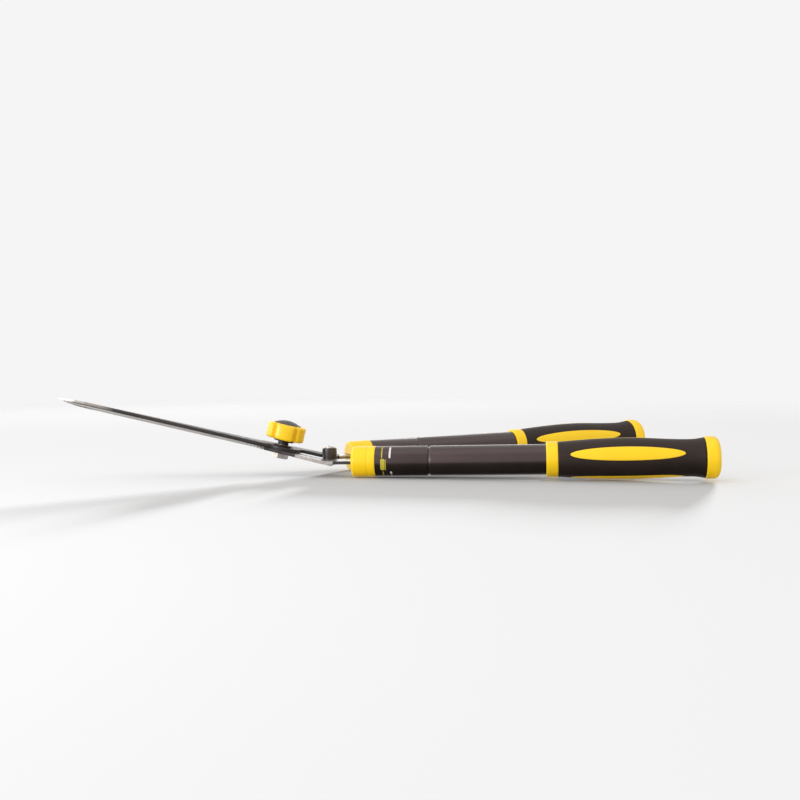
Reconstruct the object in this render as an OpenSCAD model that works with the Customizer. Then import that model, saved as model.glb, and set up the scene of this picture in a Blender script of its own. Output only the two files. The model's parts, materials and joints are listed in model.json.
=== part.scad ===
// Hedge shears: two crossed blades with cranked tangs on one pivot bolt, a star knob that
// sets the pivot, a rubber stop, and two straight tubular handles with moulded grips.
// The closed shears lie on their grips and collars: +X points to the grips, +Z is up.

/* [Blades] */
// Length of the upper blade from the pivot to its point
blade_length = 209; // [180:1:230]
// How much shorter the lower blade is
lower_short = 5; // [2:1:10]
// Thickness of both blade plates
plate_t = 3; // [2.5:0.1:3.5]
// Gap left between the two sliding faces
plate_gap = 0.3; // [0.2:0.05:0.4]
// Radius of the round boss at the pivot
boss_r = 17; // [16:0.5:18]
// Height of the blades above the handle plane, as an angle
blade_tilt = 13.6; // [10:0.2:16]
// Width of the ground bevel on each cutting edge
bevel_w = 7; // [5:0.5:9]
// Thickness left at the cutting edge
edge_land = 0.5; // [0.3:0.1:0.8]

/* [Tangs] */
// Width of the bar that enters the collar
bar_w = 16; // [14:0.5:17]
// Length of bar held inside the handle
bar_inside = 60; // [45:1:65]
// Distance from the centre line to the edge that meets the stop
stop_edge = 4.3; // [4.1:0.1:4.6]
// Distance from the pivot to the end of the broad part of the tang
shoulder_x = 48; // [47:0.5:49]

/* [Pivot and knob] */
// Radius of the pivot bolt
bolt_r = 4; // [3.5:0.1:4.2]
// Width across the flats of the bolt head
bolt_af = 13; // [12:0.5:14]
// Height of the bolt head
bolt_head_h = 5.3; // [4:0.1:6]
// Radius of the star knob over its lobes
knob_r = 18; // [17:0.5:20]
// Height of the star knob
knob_h = 14.6; // [13:0.2:16]
// Number of lobes on the knob
knob_lobes = 5; // [5:1:7]
// Height of the knob's underside above the middle of the blades
knob_base = 9.4; // [9.4:0.1:10.4]
// Radius of the cap on top of the knob
knob_cap_r = 12.5; // [11.5:0.5:13]

/* [Rubber stop] */
// Distance of the stop from the pivot
stop_x = 44.8; // [44.6:0.1:45.4]
// Radius of the stop
stop_r = 6.85; // [6.5:0.05:6.9]
// Height of the stop
stop_h = 10; // [8:0.5:12]

/* [Handles] */
// Distance from the pivot to the front face of the collars
collar_x = 64.3; // [62:0.1:68]
// Distance of each handle from the centre line at its collar
collar_y = 26; // [25:0.1:28]
// Height of the handles at the collars, measured from the pivot
collar_z = -10.3; // [-11:0.1:-9.5]
// Angle of each handle to the centre line when closed
splay = 13.95; // [12:0.05:15]
// Length of a handle from its collar to the end of its cap
handle_len = 330; // [310:1:340]
// Radius of the handle tube
tube_r = 14; // [13.5:0.1:14]
// Wall of the handle tube
tube_wall = 1.2; // [1:0.1:1.5]
// Radius of the collar
collar_r = 14.25; // [14.2:0.05:14.5]
// Distance along the handle to the joint between collar and ring
collar_joint = 14.8; // [12:0.1:16]
// Distance along the handle to the start of the tube
tube_start = 22.3; // [20:0.1:24]
// Distance along the handle to the rolled groove
groove_at = 71.6; // [66:0.1:76]

/* [Grips] */
// Distance along the handle to the front of the grip ring
ring_start = 177.7; // [170:0.1:180]
// Distance along the handle to the front of the soft grip
grip_start = 188.2; // [186:0.1:190]
// Distance along the handle to the front of the end cap
cap_start = 317.3; // [300:0.1:320]
// Radius of the grip ring
ring_r = 16.25; // [16:0.05:17]
// Radius of the soft grip at its middle
belly_r = 18.75; // [18:0.05:20]
// Radius of the end cap
cap_r = 19; // [18.5:0.1:20]
// Distance along the handle to the middle of the oval inlays
inlay_at = 249; // [246:1:251]
// Half the length of an oval inlay
inlay_half_len = 50.7; // [40:0.1:52]
// Half the width of an oval inlay
inlay_half_w = 6.8; // [5:0.1:7.5]
// How far the inlays stand proud of the grip
inlay_proud = 0.75; // [0.4:0.05:1]
// Direction of the first inlay, measured up from level on the -Y side
inlay_turn = 21; // [0:1:45]

/* [Hidden] */

LOWER = -1;                 // the half whose handle lies on the -Y side
UPPER = 1;                  // the half whose handle lies on the +Y side
fit = 0.05;                 // radial clearance of every running or slip fit
plate_mid = (plate_t + plate_gap) / 2;
tube_bore = tube_r - tube_wall;
plug_r = tube_bore - fit;
plug_len = 84;
core_r = 15;                // outside of the hard sleeve under the soft grip
groove_depth = 0.9;
groove_half = 1.8;
inlay_count = 4;
thread_h = 9;               // length of bolt inside the knob
insert_h = 10;
neck_r = 5;
washer_t = 1;
cap_dome_h = 3.4;
ear_r = stop_r - 0.45;
stop_y = stop_edge - 0.4 - stop_r;    // centre of the stop, towards +Y
stop_screw_r = 2.5;
nut_af = 8;
nut_h = 3.4;
nut_flange_r = 6;
yellow = "gold";
black = [0.12, 0.11, 0.11];
dark_grey = [0.22, 0.22, 0.23];
steel = "silver";
zinc = "gainsboro";

// The handle plane rises towards the grips so that collars and grips share one floor.
handle_pitch = atan((belly_r + inlay_proud - collar_r)
    / ((inlay_at - collar_joint / 2) * cos(splay)));

// Where a plate at height m over the pivot meets the handle plane: x in each of the two frames.
function bend_u(m) = (m * cos(blade_tilt) - collar_z
    + tan(handle_pitch) * (collar_x - m * sin(blade_tilt)))
    / (sin(blade_tilt) + tan(handle_pitch) * cos(blade_tilt));
function bend_x(m) = bend_u(m) * cos(blade_tilt) + m * sin(blade_tilt);
function bend_z(m) = -bend_u(m) * sin(blade_tilt) + m * cos(blade_tilt);

// Box of the whole object, from which the origin is set at the middle of its base.
cap_round = 5.5;
tip_x = -blade_length * cos(blade_tilt) + plate_gap / 2 * sin(blade_tilt);
tail_x = collar_x + cos(handle_pitch) * ((handle_len - cap_round) * cos(splay)
    + (cap_r - cap_round) * sin(splay)) + cap_round;
mid_x = (tip_x + tail_x) / 2;
floor_z = collar_z + (inlay_at * cos(splay)) * sin(handle_pitch)
    - (belly_r + inlay_proud) * cos(handle_pitch);

// Frames: the blades' own plane, the handle plane, and one handle with +X along it.
module on_base() translate([-mid_x, 0, -floor_z]) children();
module blade_frame() on_base() rotate([0, blade_tilt, 0]) children();
module handle_plane() on_base()
    translate([collar_x, 0, collar_z]) rotate([0, -handle_pitch, 0]) children();
module handle_frame(side) handle_plane()
    translate([0, side * collar_y, 0]) rotate([0, 0, side * splay]) children();
module flip(side) mirror([0, side < 0 ? 1 : 0, 0]) children();

// A turned piece lying along +X: each point is [distance along the handle, radius].
module turned(profile) rotate([0, 90, 0])
    rotate_extrude($fn = 96) polygon([for (p = profile) [p[1], p[0]]]);
module ring(r_in, r_out, h, z = 0) translate([0, 0, z]) difference() {
    cylinder(r = r_out, h = h, $fn = 96);
    translate([0, 0, -1]) cylinder(r = r_in, h = h + 2, $fn = 96);
}
function arc(cx, cy, r, a0, a1, n = 8) =
    [for (i = [0:n]) let (a = a0 + (a1 - a0) * i / n) [cx + r * cos(a), cy + r * sin(a)]];

// ---- Blades: outlines are drawn for the +Y half and mirrored for the other ----

tip_y = 1.2;
edge_start = [-14, 14.2];
saw_teeth = 6;
saw_pitch = 3.4;
function bar_edge(x, s) = collar_y + (x - collar_x) * tan(splay) + s * bar_w / 2 / cos(splay);
function to_blade(p) = [p[0] / cos(blade_tilt), p[1]];
function to_handle(p) = [(p[0] - collar_x) / cos(handle_pitch), p[1]];

// Plan of the tang: boss, outer edge to the bar, shoulder, straight edge that meets the stop.
tang_plan = [[0, 16.8], [26, bar_edge(26, 1) - 0.4], [collar_x - 4, bar_edge(collar_x - 4, 1)],
    [collar_x - 4, bar_edge(collar_x - 4, -1)], [shoulder_x + 5, bar_edge(shoulder_x + 5, -1)],
    [shoulder_x, stop_edge], [8, stop_edge - 1], [-4, 0]];

module blade_plan(len) {
    circle(r = boss_r, $fn = 96);
    polygon([[0, -16.6], [-14, -15.4], [12 - len, -3.6], [-len, tip_y],
        edge_start, [-8, 15.6], [0, 16.4]]);
    polygon([for (p = tang_plan) to_blade(p)]);
}

module ear_plan() translate([(stop_x - collar_x) / cos(handle_pitch), -stop_y])
    circle(r = ear_r, $fn = 64);

// The part of space on the blade side of the crank, cut along the bisector of the bend.
module blade_side(m) on_base() translate([bend_x(m), 0, bend_z(m)])
    rotate([0, (blade_tilt - handle_pitch) / 2, 0])
        translate([-400, -100, -100]) cube([400, 200, 200]);

// Ground bevel along the cutting edge, as the wedge that grinding takes away.
module bevel_cut(len) {
    slope = (plate_t - edge_land) / bevel_w;
    run = [-len, tip_y] - edge_start;
    translate([edge_start[0], edge_start[1], plate_gap / 2])
        rotate([0, 0, atan2(run[1], run[0])])
            rotate([90, 0, 90])
                linear_extrude(norm(run) + 20)
                    polygon([[-1, edge_land - slope], [bevel_w + 1, plate_t + slope],
                        [-1, plate_t + slope]]);
}

// One blade with its tang in a single cranked plate.
module half_plate(side, len, holes = 0) {
    m = side * plate_mid;
    difference() {
        union() {
            intersection() {
                blade_frame() translate([0, 0, m - plate_t / 2])
                    linear_extrude(plate_t) flip(side) blade_plan(len);
                blade_side(m);
            }
            difference() {
                handle_plane() translate([0, 0, -plate_t / 2]) linear_extrude(plate_t)
                    flip(side) {
                        polygon([for (p = tang_plan) to_handle(p)]);
                        if (side == LOWER) ear_plan();
                        translate([0, collar_y]) rotate(splay)
                            translate([-6, -bar_w / 2]) square([bar_inside + 6, bar_w]);
                    }
                blade_side(m);
            }
        }
        blade_frame() cylinder(r = bolt_r + fit, h = 20, center = true, $fn = 64);
        blade_frame() mirror([0, 0, side < 0 ? 1 : 0]) flip(side) bevel_cut(len);
    }
}

module lower_blade() color(steel) difference() {
    half_plate(LOWER, blade_length - lower_short);
    at_stop() cylinder(r = stop_screw_r + 2 * fit, h = 30, center = true, $fn = 48);
    // Saw teeth for thick twigs, close to the pivot.
    run = [lower_short - blade_length, tip_y] - edge_start;
    blade_frame() flip(LOWER) for (i = [0:saw_teeth - 1]) let (t = 4 + saw_pitch * i)
        translate([edge_start[0] + t * run[0] / norm(run),
            edge_start[1] + t * run[1] / norm(run), -10])
                rotate([0, 0, 45]) translate([-1, -1, 0]) cube([2, 2, 20]);
}

module upper_blade() color(black) half_plate(UPPER, blade_length);

// ---- Pivot: bolt from below, washer, and the star knob that sets the play ----

top_face = plate_gap / 2 + plate_t;
washer_top = top_face + washer_t;

module pivot_bolt() color(zinc) blade_frame() {
    translate([0, 0, -top_face - bolt_head_h]) rotate([0, 0, 38]) intersection() {
        cylinder(r = bolt_af / 2 / cos(30), h = bolt_head_h, $fn = 6);
        rotate_extrude($fn = 96) polygon([[0, 0], [bolt_af / 2 - 0.3, 0],
            [bolt_af / 2 / cos(30), 0.9], [bolt_af / 2 / cos(30), bolt_head_h + 1],
            [0, bolt_head_h + 1]]);
    }
    rotate_extrude($fn = 96) polygon([[0, -top_face - 0.5], [bolt_r, -top_face - 0.5],
        [bolt_r, knob_base + thread_h - 0.8], [bolt_r - 0.8, knob_base + thread_h],
        [0, knob_base + thread_h]]);
}

module pivot_washer() color(steel) blade_frame() ring(bolt_r + fit, 8.5, washer_t, top_face);

module knob_washer() color(black) blade_frame()
    ring(neck_r + 0.3, 9.4, 1.5, knob_base - 1.8);

module insert_body(grow = 0) {
    translate([0, 0, knob_base - grow])
        cylinder(r = bolt_af / 2 / cos(30) + grow, h = insert_h + 2 * grow, $fn = 6);
}

module knob_insert() color(zinc) blade_frame() difference() {
    union() {
        insert_body();
        translate([0, 0, washer_top + 0.3])
            cylinder(r = neck_r, h = knob_base - washer_top, $fn = 96);
    }
    cylinder(r = bolt_r + fit, h = 100, center = true, $fn = 64);
}

// A turned body with soft corners; the valleys between the lobes are cut by round cutters.
module knob() color(yellow) blade_frame() difference() {
    corner = 2.2;
    valley_r = 2.4;
    valley_depth = 3.6;
    first_lobe = -95;
    translate([0, 0, knob_base]) rotate_extrude($fn = 96) polygon(concat(
        [[0, 0]], arc(knob_r - corner, corner, corner, -90, 0),
        arc(knob_r - corner, knob_h - corner, corner, 0, 90), [[0, knob_h]]));
    for (i = [0:knob_lobes - 1]) rotate(first_lobe + (i + 0.5) * 360 / knob_lobes)
        translate([knob_r - valley_depth + valley_r, 0, knob_base - 1])
            cylinder(r = valley_r, h = knob_h + 2, $fn = 48);
    insert_body(0.02);
    translate([0, 0, knob_base + insert_h - 1]) cylinder(r = 7, h = knob_h, $fn = 96);
}

module knob_cap() color(dark_grey) blade_frame() {
    dome_r = (knob_cap_r * knob_cap_r + cap_dome_h * cap_dome_h) / 2 / cap_dome_h;
    half = asin(knob_cap_r / dome_r);
    translate([0, 0, knob_base + knob_h]) rotate_extrude($fn = 96) polygon(concat(
        [[0, -3], [6.9, -3], [6.9, 0], [knob_cap_r, 0]],
        arc(0, cap_dome_h - dome_r, dome_r, 90 - half, 90, 10)));
}

// ---- Rubber stop on the ear of the lower tang ----

module at_stop() handle_plane()
    translate([(stop_x - collar_x) / cos(handle_pitch), stop_y, 0]) children();

module bumper() color(black) at_stop() translate([0, 0, plate_t / 2])
    rotate_extrude($fn = 96) polygon(concat([[stop_screw_r + 2 * fit, 0]],
        arc(stop_r - 0.6, 0.6, 0.6, -90, 0, 4), arc(stop_r - 0.6, stop_h - 0.6, 0.6, 0, 90, 4),
        [[stop_screw_r + 2 * fit, stop_h]]));

module bumper_washer() color(steel) at_stop()
    ring(stop_screw_r + fit, 4.8, 0.6, plate_t / 2 + stop_h);

module bumper_screw() color(zinc) at_stop() {
    head_z = plate_t / 2 + stop_h + 0.6;
    rotate_extrude($fn = 96) polygon(concat([[0, -plate_t / 2 - nut_h - 0.6],
        [stop_screw_r, -plate_t / 2 - nut_h - 0.6], [stop_screw_r, head_z], [4, head_z]],
        arc(0, head_z - 4.5, 6.02, 48.4, 90, 8)));
}

module bumper_nut() color(zinc) at_stop() mirror([0, 0, 1]) difference() {
    union() {
        translate([0, 0, plate_t / 2]) cylinder(r = nut_flange_r, h = 1, $fn = 96);
        translate([0, 0, plate_t / 2]) cylinder(r = nut_af / 2 / cos(30), h = nut_h, $fn = 6);
    }
    cylinder(r = stop_screw_r + fit, h = 40, center = true, $fn = 48);
}

// ---- Handles: each module draws one piece for either side ----

module bar_slot(from, to, wide, high) translate([from, -wide / 2, -high / 2])
    cube([to - from, wide, high]);

// Profile of the rolled groove, from one radius, as points along the handle.
function groove(r, grow = 0) = [for (i = [-4:4]) [groove_at + i * groove_half / 4,
    r - groove_depth * (1 + cos(i * 45)) / 2 - grow]];

module tang_plug(side) color(dark_grey) handle_frame(side) difference() {
    turned(concat([[3, 0], [3, plug_r]], groove(plug_r), [[plug_len, plug_r], [plug_len, 0]]));
    bar_slot(2, bar_inside + 0.3, bar_w + 0.2, plate_t + 0.1);
}

module collar(side) color(yellow) handle_frame(side) difference() {
    turned(concat([[0, 0]], [for (p = arc(3.2, collar_r - 3.2, 3.2, 180, 90)) p],
        [[collar_joint, collar_r], [collar_joint, plug_r], [3, plug_r], [3, 0]]));
    bar_slot(-1, 4, bar_w + 1, plate_t + 1);
}

module collar_ring(side) color(yellow) handle_frame(side)
    turned([[collar_joint, plug_r], [collar_joint, collar_r - 0.25],
        [collar_joint + 0.25, collar_r], [tube_start - 0.25, collar_r],
        [tube_start, collar_r - 0.25], [tube_start, plug_r]]);

module tube(side) color(black) handle_frame(side) turned(concat([[tube_start, tube_r]],
    groove(tube_r), [[cap_start, tube_r], [cap_start, tube_bore]],
    [for (i = [8:-1:0]) groove(tube_bore)[i]], [[tube_start, tube_bore]]));

module grip_core(side) color(yellow) handle_frame(side)
    turned([[grip_start, tube_r], [grip_start, core_r], [cap_start, core_r],
        [cap_start, tube_r]]);

module grip_ring(side) color(yellow) handle_frame(side)
    turned([[ring_start, tube_r], [ring_start, ring_r - 0.8], [ring_start + 0.8, ring_r],
        [grip_start - 0.8, ring_r], [grip_start, ring_r - 0.8], [grip_start, tube_r]]);

// Radius of the soft grip: a swelling belly, a neck, and a flare up to the cap.
front_r = 15.9;
neck_at = 304;
neck_grip_r = 16.7;
flare_r = 18.3;
function grip_r(s) = s < inlay_at
    ? front_r + (belly_r - front_r) * sin(90 * (s - grip_start) / (inlay_at - grip_start))
    : s < neck_at
    ? belly_r - (belly_r - neck_grip_r) * (1 - cos(180 * (s - inlay_at) / (neck_at - inlay_at))) / 2
    : neck_grip_r + (flare_r - neck_grip_r) * pow((s - neck_at) / (cap_start - neck_at), 2);
function grip_line(proud, from, to, n) =
    [for (i = [0:n]) let (s = from + (to - from) * i / n) [s, grip_r(s) + proud]];

module inlay_prisms(shrink) for (i = [0:inlay_count - 1])
    rotate([90 - inlay_turn - i * 360 / inlay_count, 0, 0]) translate([inlay_at, 0, 10])
        linear_extrude(15) polygon([for (a = [0:10:350])
            [(inlay_half_len - shrink) * cos(a), (inlay_half_w - shrink) * sin(a)]]);

module grip(side) color(black) handle_frame(side) difference() {
    turned(concat([[grip_start, core_r]], grip_line(0, grip_start, cap_start, 20),
        [[cap_start, core_r]]));
    inlay_prisms(0);
}

module grip_inlays(side) color(yellow) handle_frame(side) intersection() {
    turned(concat([[grip_start, core_r]], grip_line(inlay_proud, grip_start, neck_at, 18),
        [[neck_at, core_r]]));
    inlay_prisms(fit);
}

module end_cap(side) color(yellow) handle_frame(side)
    turned(concat([[296, 0], [296, plug_r - 0.6], [297, plug_r], [cap_start, plug_r],
        [cap_start, cap_r - 0.7]], arc(cap_start + 0.7, cap_r - 0.7, 0.7, 180, 90, 3),
        arc(handle_len - cap_round, cap_r - cap_round, cap_round, 90, 0),
        [[handle_len, 0]]));

module lower_tang_plug() tang_plug(LOWER);
module lower_collar() collar(LOWER);
module lower_collar_ring() collar_ring(LOWER);
module lower_tube() tube(LOWER);
module lower_grip_core() grip_core(LOWER);
module lower_grip_ring() grip_ring(LOWER);
module lower_grip() grip(LOWER);
module lower_grip_inlays() grip_inlays(LOWER);
module lower_end_cap() end_cap(LOWER);
module upper_tang_plug() tang_plug(UPPER);
module upper_collar() collar(UPPER);
module upper_collar_ring() collar_ring(UPPER);
module upper_tube() tube(UPPER);
module upper_grip_core() grip_core(UPPER);
module upper_grip_ring() grip_ring(UPPER);
module upper_grip() grip(UPPER);
module upper_grip_inlays() grip_inlays(UPPER);
module upper_end_cap() end_cap(UPPER);

lower_blade();
upper_blade();
pivot_bolt();
pivot_washer();
knob_washer();
knob_insert();
knob();
knob_cap();
bumper();
bumper_screw();
bumper_washer();
bumper_nut();
lower_tang_plug();
lower_collar();
lower_collar_ring();
lower_tube();
lower_grip_core();
lower_grip_ring();
lower_grip();
lower_grip_inlays();
lower_end_cap();
upper_tang_plug();
upper_collar();
upper_collar_ring();
upper_tube();
upper_grip_core();
upper_grip_ring();
upper_grip();
upper_grip_inlays();
upper_end_cap();
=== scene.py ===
import json
import math

import bmesh
import bpy
from mathutils import Matrix, Quaternion, Vector


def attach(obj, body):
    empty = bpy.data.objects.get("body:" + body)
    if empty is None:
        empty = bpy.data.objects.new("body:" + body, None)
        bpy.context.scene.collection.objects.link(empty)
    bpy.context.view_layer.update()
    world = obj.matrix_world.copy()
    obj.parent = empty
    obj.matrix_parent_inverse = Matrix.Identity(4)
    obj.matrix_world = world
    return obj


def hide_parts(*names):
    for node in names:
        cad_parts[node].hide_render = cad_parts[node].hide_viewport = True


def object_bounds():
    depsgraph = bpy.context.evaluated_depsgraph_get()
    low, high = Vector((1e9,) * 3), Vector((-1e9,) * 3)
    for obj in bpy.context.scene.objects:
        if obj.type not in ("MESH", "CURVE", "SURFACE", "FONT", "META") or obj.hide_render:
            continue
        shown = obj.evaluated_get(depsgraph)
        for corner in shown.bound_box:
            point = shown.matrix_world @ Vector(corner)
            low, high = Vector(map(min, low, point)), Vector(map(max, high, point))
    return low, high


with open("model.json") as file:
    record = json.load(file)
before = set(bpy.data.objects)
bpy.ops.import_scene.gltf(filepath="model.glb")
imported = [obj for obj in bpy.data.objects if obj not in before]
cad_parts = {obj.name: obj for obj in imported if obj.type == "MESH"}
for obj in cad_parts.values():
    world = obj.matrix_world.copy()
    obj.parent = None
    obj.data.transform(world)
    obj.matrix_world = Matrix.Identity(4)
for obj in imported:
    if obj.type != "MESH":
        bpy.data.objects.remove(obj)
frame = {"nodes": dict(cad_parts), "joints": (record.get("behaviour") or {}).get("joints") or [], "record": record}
cad_low, cad_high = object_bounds()


# ---- Floor, light and camera ---------------------------------------------------------------
# The shears lie on a sheet of matt pale paper whose far edges fade into a room of the same
# tone. The room is light all round and lighter on the left; a low lamp behind, which lights
# only the paper, throws the soft shadow forward. The camera stands low in front.
paper_size = 3.2
paper_solid = 0.80
paper_gone = 1.45
paper_seen = (0.520, 0.527, 0.533)
paper_bounce = (0.50, 0.49, 0.48)
camera_ray = "Is Camera Ray"
room_colour = (0.915, 0.915, 0.915)
room_tone = (1.0, 0.97, 0.95)
room_light = 0.83
room_low = 0.05
room_dusk = (-0.26, -0.06)
room_left = 2.0
room_left_from = (-0.1, -0.95)
room_behind = 0.9
room_behind_from = (0.5, 0.78)
shadow_lamp = 9.5
shadow_height = math.radians(10.5)
shadow_way = math.radians(-30)
shadow_soft = math.radians(8)
camera_aim = Vector((0.0198, 0.0, 0.0695))
camera_azimuth = math.radians(-7.2)
camera_elevation = math.radians(3.07)
camera_roll = math.radians(-0.19)
camera_distance = 1.0197
camera_lens = 48.19


def node(tree, kind, ins=None, **props):
    """A new node with its properties set and its inputs set or linked, by name or number."""
    made = tree.nodes.new(kind)
    for name, value in props.items():
        setattr(made, name, value)
    for name, value in (ins or {}).items():
        if isinstance(value, bpy.types.NodeSocket):
            tree.links.new(value, made.inputs[name])
        else:
            made.inputs[name].default_value = value
    return made


def scaled(tree, value, factor):
    """A value times a factor."""
    return node(tree, "ShaderNodeMath", {0: value, 1: factor}, operation="MULTIPLY").outputs[0]


def ranged(tree, value, low, high, to_low=0.0, to_high=1.0):
    """A value stretched from one range to another and held inside it."""
    return node(tree, "ShaderNodeMapRange",
                {0: value, 1: low, 2: high, 3: to_low, 4: to_high}).outputs[0]


def make_floor():
    """The sheet of paper. It fades out away from the shears, so no edge of it shows."""
    mesh = bpy.data.meshes.new("floor")
    half = paper_size / 2
    mesh.from_pydata([(-half, -half, 0), (half, -half, 0), (half, half, 0), (-half, half, 0)],
                     [], [(0, 1, 2, 3)])
    floor = bpy.data.objects.new("floor", mesh)
    bpy.context.scene.collection.objects.link(floor)
    paper = bpy.data.materials.new("floor_paper")
    paper.use_nodes = True
    tree = paper.node_tree
    shader = tree.nodes["Principled BSDF"]
    seen = node(tree, "ShaderNodeLightPath").outputs[camera_ray]
    tone = node(tree, "ShaderNodeMix", {0: seen, 6: (*paper_bounce, 1), 7: (*paper_seen, 1)},
                data_type="RGBA")
    tree.links.new(tone.outputs[2], shader.inputs["Base Color"])
    place = node(tree, "ShaderNodeTexCoord").outputs["Object"]
    away = node(tree, "ShaderNodeVectorMath", {0: place}, operation="LENGTH").outputs["Value"]
    tree.links.new(ranged(tree, away, paper_solid, paper_gone, 1.0, 0.0), shader.inputs["Alpha"])
    shader.inputs["Roughness"].default_value = 1.0
    shader.inputs["Specular IOR Level"].default_value = 0.0
    mesh.materials.append(paper)
    floor.visible_glossy = False
    return floor


def make_room():
    """The room: light above the level of the shears, more on the left, dark below in front, and
    one pale tone behind them."""
    world = bpy.data.worlds.new("room")
    bpy.context.scene.world = world
    world.use_nodes = True
    tree = world.node_tree
    tree.nodes.clear()
    way = node(tree, "ShaderNodeTexCoord").outputs["Generated"]
    part = node(tree, "ShaderNodeSeparateXYZ", {0: way}).outputs
    height = ranged(tree, part[2], *room_dusk, room_low, 1.0)
    behind = ranged(tree, part[1], *room_behind_from, 0.0, room_behind)
    either = node(tree, "ShaderNodeMath", {0: height, 1: behind}, operation="MAXIMUM").outputs[0]
    left = ranged(tree, part[0], *room_left_from, 1.0, room_left)
    strength = scaled(tree, scaled(tree, either, left), room_light)
    lighting = node(tree, "ShaderNodeBackground", {0: (*room_tone, 1), 1: strength})
    seen = node(tree, "ShaderNodeBackground", {0: (*room_colour, 1), 1: 1.0})
    ray = node(tree, "ShaderNodeLightPath")
    both = node(tree, "ShaderNodeMixShader",
                {0: ray.outputs[camera_ray], 1: lighting.outputs[0], 2: seen.outputs[0]})
    node(tree, "ShaderNodeOutputWorld", {0: both.outputs[0]})


def soft_box(name, place, aim, width, depth, power):
    """A rectangular studio lamp, sized in metres, turned to what it lights."""
    light = bpy.data.lights.new(name, "AREA")
    light.shape = "RECTANGLE"
    light.size = width
    light.size_y = depth
    light.energy = power
    lamp = bpy.data.objects.new(name, light)
    bpy.context.scene.collection.objects.link(lamp)
    lamp.location = place
    lamp.rotation_euler = (Vector(aim) - Vector(place)).to_track_quat("-Z", "Y").to_euler()


def floor_lamp(floor):
    """A low lamp behind the shears that lights the paper only, so the shears shade it."""
    light = bpy.data.lights.new("shadow_lamp", "SUN")
    light.energy = shadow_lamp
    light.angle = shadow_soft
    lamp = bpy.data.objects.new("shadow_lamp", light)
    bpy.context.scene.collection.objects.link(lamp)
    way = Vector((math.sin(shadow_way) * math.cos(shadow_height),
                  -math.cos(shadow_way) * math.cos(shadow_height), -math.sin(shadow_height)))
    lamp.rotation_euler = way.to_track_quat("-Z", "Y").to_euler()
    lit = bpy.data.collections.new("lit_by_shadow_lamp")
    lit.objects.link(floor)
    lamp.light_linking.receiver_collection = lit


def make_camera():
    """A camera low in front of the shears and a little to the blades' side of them."""
    back = Vector((math.sin(camera_azimuth) * math.cos(camera_elevation),
                   -math.cos(camera_azimuth) * math.cos(camera_elevation),
                   math.sin(camera_elevation)))
    camera = bpy.data.objects.new("camera", bpy.data.cameras.new("camera"))
    bpy.context.scene.collection.objects.link(camera)
    camera.location = camera_aim + back * camera_distance
    camera.rotation_mode = "QUATERNION"
    camera.rotation_quaternion = ((-back).to_track_quat("-Z", "Y")
                                  @ Quaternion((0, 0, 1), camera_roll))
    camera.data.lens = camera_lens
    camera.data.sensor_width = 36
    camera.data.clip_start = 0.01
    bpy.context.scene.camera = camera


floor_lamp(make_floor())
make_room()
soft_box("overhead_box", place=(0.05, -0.35, 1.4), aim=(0, 0, 0), width=1.8, depth=0.9, power=2.0)
soft_box("left_box", place=(-0.95, -0.62, 0.30), aim=(-0.05, 0, 0.03), width=0.35, depth=0.45,
         power=5.0)
soft_box("back_box", place=(-0.3, 1.25, 0.40), aim=(0, 0, 0.03), width=1.8, depth=0.12, power=2.6)
make_camera()
bpy.context.scene.view_settings.view_transform = "Standard"


# ---- Blades ------------------------------------------------------------------------------
# Two 3 mm plates stamped from carbon steel, cranked by a press and ground along one edge. The
# lower one is left bright and has saw teeth by the pivot; the upper one has a black coat.
# Sizes are in millimetres from the pivot, with +X to the handles and +Z along the pivot.
mm = 0.001
plate = 3.0
plate_gap = 0.3
crank_reach = 3.0
edge_round = 0.3
edge_burr = 0.02
bevel_width = 7.0
edge_land = 0.5
bevel_runout = 14.0
hollow_grind = 0.12
tip_y = 1.2
point_run = 12.0
point_spine = -3.6
heel_x = -14.0
heel_spine = -15.2
heel_edge = 14.2
heel_turn = 14.0
boss_radius = 17.0
boss_outer = 16.8
boss_inner = -9.9
bolt_hole = 4.05
tang_x = 20.0
waist_x = 26.0
waist_in = 0.4
outer_run = 50.0
inner_edge = 4.3
inner_taper = 0.7
shoulder = 48.0
shoulder_run = 5.0
ear_radius = 6.4
bar_half = 8.0
bar_turn = (62, 90)
teeth = 6
tooth_pitch = 3.4
tooth_depth = 1.4
tooth_slope = 3.2
first_tooth = 4.0
# Painted shade: the lower blade's side edges take the black coat along the teeth and boss (first pair) and along
# the bar (next), where they lie in shade.
shade_edge_span = (-34.0, 12.5)
bar_shade_from = 47.0
# Painted highlight: the upper blade's bar is bare steel from here back, where it catches the light.
bar_highlight_from = 56.0

pivot_joint = next(j for j in frame["joints"] if j["name"] == "blade_pivot")
pivot = Vector(pivot_joint["pos_m"])
pivot_up = Vector(pivot_joint["axis"]).normalized()
mounts = {m["name"]: m for m in frame["record"]["mounts"]}
lower_axis = Vector(mounts["lower_cap_end"]["axis"]).normalized()
upper_axis = Vector(mounts["upper_cap_end"]["axis"]).normalized()
handle_up = lower_axis.cross(upper_axis).normalized()


def placed(origin, along, up):
    """The matrix of a frame with its X along and its Z up."""
    x = along.normalized()
    y = up.cross(x).normalized()
    z = x.cross(y)
    return Matrix.Translation(origin) @ Matrix((x, y, z)).transposed().to_4x4()


def extent(name, place):
    """Lowest and highest corner of a CAD node in a frame, in millimetres."""
    to_place = place.inverted()
    points = [to_place @ v.co / mm for v in frame["nodes"][name].data.vertices]
    low = Vector([min(p[i] for p in points) for i in range(3)])
    high = Vector([max(p[i] for p in points) for i in range(3)])
    return low, high


blade_place = placed(pivot, Vector((0, 1, 0)).cross(pivot_up), pivot_up)
mid_axis = (lower_axis + upper_axis).normalized()
upper_tip = extent("upper_blade", blade_place)[0].x
lower_tip = extent("lower_blade", blade_place)[0].x
coat_gone = cad_low[0] + 0.040
coat_whole = cad_low[0] + 0.058
blade_tilt = math.acos(pivot_up.z)
handle_pitch = math.asin(mid_axis.z)


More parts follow.
